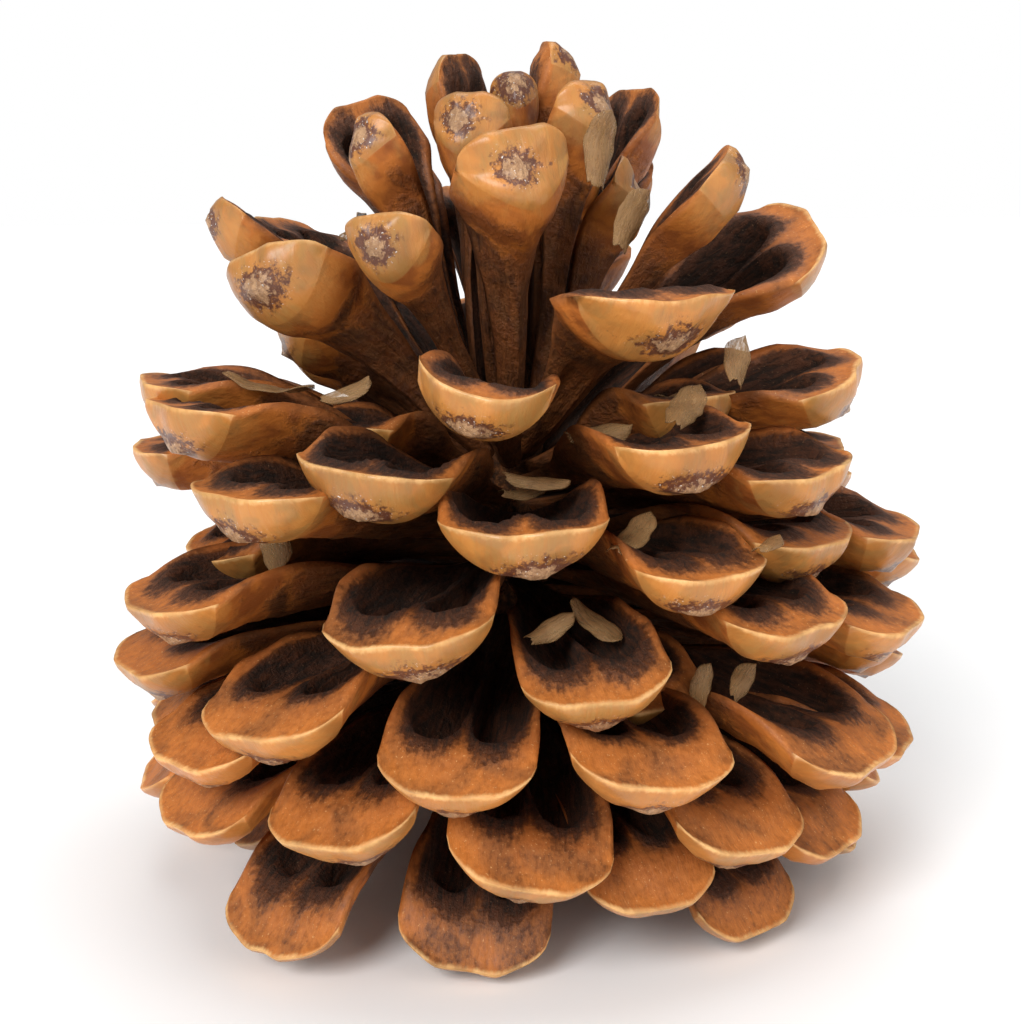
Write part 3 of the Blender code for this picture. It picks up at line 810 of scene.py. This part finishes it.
    # Rows in order: the top from root to edge, the outer end without its first and last row, and the
    # underside back to the root
    rows_x = np.vstack([x_top, x_end[1:-1], x_low[::-1]])
    rows_y = np.vstack([y, y_end[1:-1], y[::-1]])
    rows_z = np.vstack([z_top, z_end[1:-1], z_low[::-1]])
    droop = between(DROOP, number) + MORE_DROOP.get(number, 0)
    rows_x, rows_z = bend_down(rows_x, rows_z, length, droop)
    points = np.stack([rows_x, rows_y, rows_z], axis=2)

    # What the wood is like: outer end, pale edge with its painted highlight, hollow, soot, boss,
    # underside, place along, own tone with painted shade on the lowest scales
    count_top, count_end = ROWS_ALONG + 1, ROWS_DOWN - 1
    end_rows = slice(count_top, count_top + count_end)
    outer_rows = slice(count_top - 1, count_top + count_end + 1)
    low_rows = slice(count_top + count_end, None)
    face = np.zeros((len(points), COLUMNS + 1))
    face[outer_rows] = 0.5
    face[end_rows] = 1.0
    far_back = np.full_like(face, FAR_OFF)
    far_back[:count_top] = (1 - grown) * (length + ROOT_BEHIND)
    far_back[end_rows] = np.hypot(x_end - rim_x, z_end - rim_z)[1:-1]
    edge = np.exp(-((far_back / EDGE_WIDE) ** 2)) * (1 - 0.6 * crown)
    pit = np.zeros_like(face)
    pit[:count_top] = hollow * (deep > 0.25)
    soot = np.zeros_like(face)
    soot_to = SOOT_FADES[1] + draw.uniform(-0.12, 0.15)
    blackened = 1 - smooth(SOOT_FADES[0], soot_to, round_off)
    blackened = np.maximum(blackened, 1 - smooth(front - 0.06, front + 0.06, t))
    blackened = blackened * (1 - 0.75 * smooth(0.84, 0.98, a))
    # The lowest scales get a little more soot: partly dirt, partly painted shade
    soot[:count_top] = blackened * (0.35 + 0.65 * flat) + 0.12 * smooth(106, 118, number)
    boss = np.zeros_like(face)
    patch = np.exp(-((far / ((BOSS_WIDE + 1.6 * knob) * thick)) ** 2))
    along_keel = np.exp(-(((g - KEEL_AT) / 0.10) ** 2)) * (1 - a**2)
    boss[outer_rows] = np.maximum(patch, KEEL_SCAB * along_keel)
    boss[count_top - 1] = boss[count_top - 1] * 0.5
    under = np.zeros_like(face)
    under[low_rows] = 1.0
    under[low_rows, [0, -1]] = 0.5
    shares = np.broadcast_to(t, x_top.shape)
    along = np.vstack([shares, np.ones_like(x_end[1:-1]), shares[::-1]])
    own = 0.55 * draw.random() + 0.45 * smooth(45, 110, number)
    # The lowest scales are darkened and made less warm: partly dirt, partly painted shade
    own = np.full_like(face, own * (1 - 0.85 * smooth(107, 115, number)))
    zones = np.stack([face, edge, pit, soot], axis=2)
    marks = np.stack([boss, under, along, own], axis=2)
    wood_from = draw.uniform(0, 400)
    grain = points + np.array([wood_from, wood_from * 0.7, wood_from * 0.3])
    return points, zones, marks, grain


def grid_numbers():
    """Vertex number of each row and column. Side edges and corners are shared, so the scale is closed."""
    count_top, count_end = ROWS_ALONG + 1, ROWS_DOWN - 1
    total = 2 * count_top + count_end
    numbers = np.zeros((total, COLUMNS + 1), int)
    keep = np.zeros((total, COLUMNS + 1), bool)
    keep[:count_top] = True
    keep[count_top:, 1:-1] = True
    numbers[keep] = np.arange(keep.sum())
    for column in (0, COLUMNS):
        numbers[count_top:count_top + count_end, column] = numbers[count_top - 1, column]
        numbers[count_top + count_end:, column] = numbers[:count_top, column][::-1]
    return numbers, keep


def grid_faces(numbers, lengths):
    """Faces of the closed grid, with the place of each corner on the scale's own map, from 0 to 1."""
    down = np.concatenate([[0.0], np.cumsum(lengths)]) / np.sum(lengths)
    total = len(numbers)
    faces, spots = [], []
    for row in range(total):
        after = (row + 1) % total
        for column in range(COLUMNS):
            corners = (
                (numbers[row, column], column / COLUMNS, down[row]),
                (numbers[after, column], column / COLUMNS, down[row + 1]),
                (numbers[after, column + 1], (column + 1) / COLUMNS, down[row + 1]),
                (numbers[row, column + 1], (column + 1) / COLUMNS, down[row]),
            )
            seen = []
            for corner in corners:
                if corner[0] not in [c[0] for c in seen]:
                    seen.append(corner)
            if len(seen) > 2:
                faces.append([int(c[0]) for c in seen])
                spots.append([(c[1], c[2]) for c in seen])
    return faces, spots


GRID_NUMBERS, GRID_KEEP = grid_numbers()
ROW_LENGTHS = [1.7] * ROWS_ALONG + [0.9] * ROWS_DOWN + [1.5] * ROWS_ALONG + [1.0]
GRID_FACES, GRID_SPOTS = grid_faces(GRID_NUMBERS, ROW_LENGTHS)


def add_floats(mesh, name, kind, values):
    layer = mesh.attributes.new(name, kind, "POINT")
    entry = "vector" if kind == "FLOAT_VECTOR" else "color"
    layer.data.foreach_set(entry, values.astype(np.float32).ravel())


def make_mesh(name, vertices, faces, spots, paint, attributes):
    mesh = bpy.data.meshes.new(name)
    mesh.from_pydata(vertices.tolist(), [], faces)
    unwrap = mesh.uv_layers.new(name="OFBake")
    flat = [value for face in spots for spot in face for value in spot]
    unwrap.data.foreach_set("uv", flat)
    for label, (kind, values) in attributes.items():
        add_floats(mesh, label, kind, values)
    mesh.materials.append(paint)
    mesh.polygons.foreach_set("use_smooth", [True] * len(mesh.polygons))
    mesh.update()
    piece = bpy.data.objects.new(name, mesh)
    bpy.context.scene.collection.objects.link(piece)
    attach(piece, "root")
    return piece


# Rings of scales, counted from the top, and how their maps lie beside each other
RINGS = 12
MAP_COLUMNS = 6
MAP_ROWS = 2
MAP_GAP = 0.004


def make_ring(ring):
    """The scales of one ring as one piece, each a closed body of its own."""
    first = ring * SCALE_COUNT // RINGS
    last = (ring + 1) * SCALE_COUNT // RINGS
    vertices, faces, spots = [], [], []
    layers = {"zones": [], "marks": [], "grain": []}
    count = int(GRID_KEEP.sum())
    for order, number in enumerate(range(first, last)):
        base, along, side, up, length, width = scale_frame(number)
        points, zones, marks, grain = scale_grid(number, length, width)
        placed = base + points[..., :1] * along + points[..., 1:2] * side + points[..., 2:] * up + SHIFT
        placed[..., 2] = np.maximum(placed[..., 2], 0.0)
        vertices.append(placed[GRID_KEEP] * MM)
        layers["zones"].append(zones[GRID_KEEP])
        layers["marks"].append(marks[GRID_KEEP])
        layers["grain"].append(grain[GRID_KEEP])
        faces += [[k + order * count for k in face] for face in GRID_FACES]
        left = order % MAP_COLUMNS / MAP_COLUMNS
        bottom = order // MAP_COLUMNS / MAP_ROWS
        wide, tall = 1 / MAP_COLUMNS - 2 * MAP_GAP, 1 / MAP_ROWS - 2 * MAP_GAP
        spots += [
            [(left + MAP_GAP + u * wide, bottom + MAP_GAP + v * tall) for u, v in spot]
            for spot in GRID_SPOTS
        ]
    attributes = {
        "zones": ("FLOAT_COLOR", np.vstack(layers["zones"])),
        "marks": ("FLOAT_COLOR", np.vstack(layers["marks"])),
        "grain": ("FLOAT_VECTOR", np.vstack(layers["grain"])),
    }
    name = f"scales_ring_{ring + 1:02d}"
    piece = make_mesh(name, np.vstack(vertices), faces, spots, SCALE_WOOD, attributes)
    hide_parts("cone")
    return piece


for ring in range(RINGS):
    make_ring(ring)


# Axis
# The woody axis that carries the scales runs up the middle and ends in a short broken stem stub
# below. It is rough and dark, and shows only deep between the scales.
AXIS_SIDES = 48
AXIS_LEVELS = 70
AXIS_SEED = 7
AXIS_ROUGH = 0.35
# Height and radius of the outline, from the stem stub to the top
AXIS_OUTLINE = (
    (-24, 0.0), (-24, 3.2), (-23, 3.9), (-18.5, 4.2), (-17, 6.2), (0, 6.6), (12, 6.2), (30, 4.6),
    (39, 3.0), (43, 1.0), (43.2, 0.0),
)


def make_axis_wood():
    wood, tree, shader, fibre = new_material("cone axis wood")
    colour = tint(tree, (-700, 200), fibre.outputs["Fibre"], BARK_BROWN, STALK_BROWN)
    colour = tint(tree, (-500, 200), fibre.outputs["Fine"], colour, SOOT)
    wire(tree, colour, shader.inputs["Base Color"])
    bump = add_node(tree, "ShaderNodeBump", (-300, -200))
    put(bump, Strength=0.8, Distance=0.0004)
    wire(tree, fibre.outputs["Fine"], bump.inputs["Height"])
    wire(tree, bump.outputs["Normal"], shader.inputs["Normal"])
    shader.inputs["Roughness"].default_value = 0.8
    shader.inputs["Specular IOR Level"].default_value = 0.2
    return wood


def make_axis():
    draw = random.Random(AXIS_SEED)
    heights = np.array([point[0] for point in AXIS_OUTLINE], float)
    radii = np.array([point[1] for point in AXIS_OUTLINE], float)
    path = np.concatenate([[0.0], np.cumsum(np.hypot(np.diff(heights), np.diff(radii)))])
    level = np.linspace(0.0, path[-1], AXIS_LEVELS + 1)[1:-1]
    height = np.interp(level, path, heights)[:, None]
    radius = np.interp(level, path, radii)[:, None]
    angle = np.linspace(0, 2 * math.pi, AXIS_SIDES, endpoint=False)[None, :]
    rough = ripple(draw, np.cos(angle) * 6 + height * 0.2, np.sin(angle) * 6 + height, 3.0)
    rough = rough * AXIS_ROUGH
    reach = np.maximum(radius * (1 + rough / 6), 0.05)
    x, y = reach * np.cos(angle), reach * np.sin(angle)
    z = np.broadcast_to(height, x.shape)
    points = np.stack([x, y, z], axis=2)
    rings = points.reshape(-1, 3)
    ends = np.array([[0, 0, heights[0]], [0, 0, heights[-1]]], float)
    vertices = np.vstack([rings, ends])
    levels = len(level)
    faces, spots = [], []
    for row in range(levels - 1):
        for side in range(AXIS_SIDES):
            after = (side + 1) % AXIS_SIDES
            here, above = row * AXIS_SIDES, (row + 1) * AXIS_SIDES
            faces.append([here + side, here + after, above + after, above + side])
            low, high = row / levels, (row + 1) / levels
            left, right = side / AXIS_SIDES, (side + 1) / AXIS_SIDES
            spots.append([(left, low), (right, low), (right, high), (left, high)])
    bottom, top = len(rings), len(rings) + 1
    last = (levels - 1) * AXIS_SIDES
    for side in range(AXIS_SIDES):
        after = (side + 1) % AXIS_SIDES
        left, right = side / AXIS_SIDES, (side + 1) / AXIS_SIDES
        faces.append([bottom, after, side])
        spots.append([(left, 0.0), (right, 0.001), (left, 0.001)])
        faces.append([top, last + side, last + after])
        spots.append([(left, 1.0), (left, 0.999), (right, 0.999)])
    attributes = {"grain": ("FLOAT_VECTOR", vertices[:, [2, 0, 1]])}
    wood = make_axis_wood()
    piece = make_mesh("cone_axis", (vertices + SHIFT) * MM, faces, spots, wood, attributes)
    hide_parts("cone")


make_axis()


# Seed wings
# Papery wings that came off the seeds lie caught between the scales: thin pale brown films, cupped
# along their length, blunt at the outer end and torn at the inner one.
WING_THICK = 0.14
WING_ALONG = 22
WING_ACROSS = 8
WING_CUP = 0.8
WING_SEED = 500
# Length and width of the film as shares of those in the list, and how wide a side is on its map
WING_SHARE = (0.86, 0.76)
SIDE_MAP = 0.48
PAPER_PALE = (0.44, 0.26, 0.11)
PAPER_BROWN = (0.20, 0.095, 0.036)
# Wings of which a part is torn off, as shares of the size in the list
WING_TORN = {
    1: 0.85, 2: 0.75, 3: 0.6, 4: 0.75, 6: 0.8, 7: 0.9, 8: 0.72, 9: 0.62, 11: 0.6, 12: 0.75, 13: 0.62,
    14: 0.6, 15: 0.7, 17: 0.7,
}
# Degrees round from the front, height above the resting plane and radius of the middle in
# millimetres, heading and nod in degrees, length and width
WINGS = (
    (33, 104, 22, 70, 10, 14, 7),
    (42, 95, 24, 50, 10, 15, 7),
    (-80, 94, 22, 40, 30, 12, 6),
    (19, 69, 34, 5, 50, 14, 6),
    (46, 72, 30, 20, 100, 13, 6),
    (40, 78, 44, 50, 40, 12, 6),
    (30, 73, 43, 40, 60, 13, 6),
    (5, 64, 38, -10, 60, 13, 5),
    (3, 62, 35, 20, 60, 12, 5),
    (19, 58, 45, 45, 70, 13, 5),
    (6, 47, 45, 30, 50, 13, 6),
    (14, 47, 43, -60, 60, 13, 6),
    (36, 36, 42, 55, 30, 12, 6),
    (35, 57, 54, 20, 80, 12, 5),
    (43, 36, 44, 30, 30, 11, 6),
    (-57, 74, 38, 50, 100, 14, 7),
    (-38, 74, 34, 30, 50, 12, 6),
    (-48, 54, 42, -30, 40, 14, 6),
    (112, 58, 42, 20, 80, 14, 6),
    (147, 76, 38, 30, 50, 13, 7),
    (176, 48, 42, -20, 90, 14, 6),
    (-164, 72, 42, 30, 80, 13, 6),
    (-139, 54, 44, 10, 80, 12, 6),
    (-110, 42, 46, 10, 40, 14, 6),
)


def make_wing_paper():
    paper, tree, shader, fibre = new_material("seed wing paper")
    colour = tint(tree, (-600, 200), fibre.outputs["Fibre"], PAPER_PALE, PAPER_BROWN, 0.6)
    colour = tint(tree, (-400, 200), fibre.outputs["Blotch"], colour, PAPER_BROWN, 0.35)
    wire(tree, colour, shader.inputs["Base Color"])
    see = add_node(tree, "ShaderNodeMapRange", (-400, -60))
    put(see, To_Min=0.42, To_Max=0.90)
    wire(tree, fibre.outputs["Fibre"], see.inputs["Value"])
    wire(tree, see.outputs["Result"], shader.inputs["Alpha"])
    bump = add_node(tree, "ShaderNodeBump", (-300, -300))
    put(bump, Strength=0.5, Distance=0.0002)
    wire(tree, fibre.outputs["Fibre"], bump.inputs["Height"])
    wire(tree, bump.outputs["Normal"], shader.inputs["Normal"])
    shader.inputs["Roughness"].default_value = 0.42
    shader.inputs["Specular IOR Level"].default_value = 0.3
    return paper


WING_PAPER = make_wing_paper()


def wing_sheet(draw, length, width):
    """Middle surface of a wing, rows along it and columns across."""
    share = np.linspace(0, 1, WING_ALONG + 1)[:, None]
    across = np.linspace(-1, 1, WING_ACROSS + 1)[None, :]
    half = width / 2 * (0.45 + 0.55 * np.sin(math.pi * np.minimum(1.0, share * 0.75 + 0.05)))
    end = np.sqrt(np.clip(1 - (np.clip(share - 0.8, 0, 1) / 0.205) ** 2, 0.0, 1))
    half = half * np.maximum(end, 0.12)
    frayed = 1 + 0.10 * ripple(draw, share * length, across * 0, 3.0)
    torn = 0.05 * ripple(draw, across * 3, across * 0, 1.5) * np.clip(1 - share * 4, 0, 1)
    x = length * (share - 0.5 + torn)
    y = half * across * frayed
    cup = WING_CUP * (2 * (share - 0.5)) ** 2 - 0.5 * across**2
    curl = 0.45 * ripple(draw, share * length, across * width / 2, 7.0)
    twist = y * draw.uniform(-0.12, 0.12) * (share - 0.5) * 2
    return np.stack([x + 0 * y, y, cup + curl + twist], axis=2)


def make_wing(order, around, height, radius, heading, nod, length, width):
    draw = random.Random(WING_SEED + order)
    angle = math.radians(around)
    out = Vector((math.sin(angle), -math.cos(angle), 0))
    face = out * math.cos(math.radians(nod)) + Vector((0, 0, math.sin(math.radians(nod))))
    level = Vector((math.cos(angle), math.sin(angle), 0))
    tall = face.cross(level)
    along = level * math.cos(math.radians(heading)) + tall * math.sin(math.radians(heading))
    place = np.array(Matrix((along, face.cross(along), face)).transposed())
    centre = np.array(out * radius) + np.array([0, 0, height - FLOOR_BELOW])
    torn = WING_TORN.get(order, 1.0)
    sheet = wing_sheet(draw, length * WING_SHARE[0] * torn, width * WING_SHARE[1] * torn)
    rows, columns = sheet.shape[:2]
    lift = np.array([0, 0, WING_THICK / 2])
    both = np.concatenate([(sheet + lift).reshape(-1, 3), (sheet - lift).reshape(-1, 3)])
    below = rows * columns
    faces, spots = [], []

    def add(corners, side):
        faces.append(corners)
        spots.append([
            (k % below % columns / columns * SIDE_MAP + side * 0.5, k % below // columns / rows)
            for k in corners
        ])

    for row in range(rows - 1):
        for column in range(columns - 1):
            k = row * columns + column
            add([k, k + columns, k + columns + 1, k + 1], 0)
            add([below + k, below + k + 1, below + k + columns + 1, below + k + columns], 1)
        left, right = row * columns, row * columns + columns - 1
        add([left, below + left, below + left + columns, left + columns], 0)
        add([right, right + columns, below + right + columns, below + right], 0)
    last = (rows - 1) * columns
    for column in range(columns - 1):
        add([column, column + 1, below + column + 1, below + column], 0)
        add([last + column, below + last + column, below + last + column + 1, last + column + 1], 0)
    placed = both @ place.T + centre + SHIFT
    attributes = {"grain": ("FLOAT_VECTOR", both * 2.0 + order * 11.0)}
    name = f"seed_wing_{order:02d}"
    piece = make_mesh(f"{name}_paper", placed * MM, faces, spots, WING_PAPER, attributes)
    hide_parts(name)


for order, wing in enumerate(WINGS, 1):
    make_wing(order, *wing)
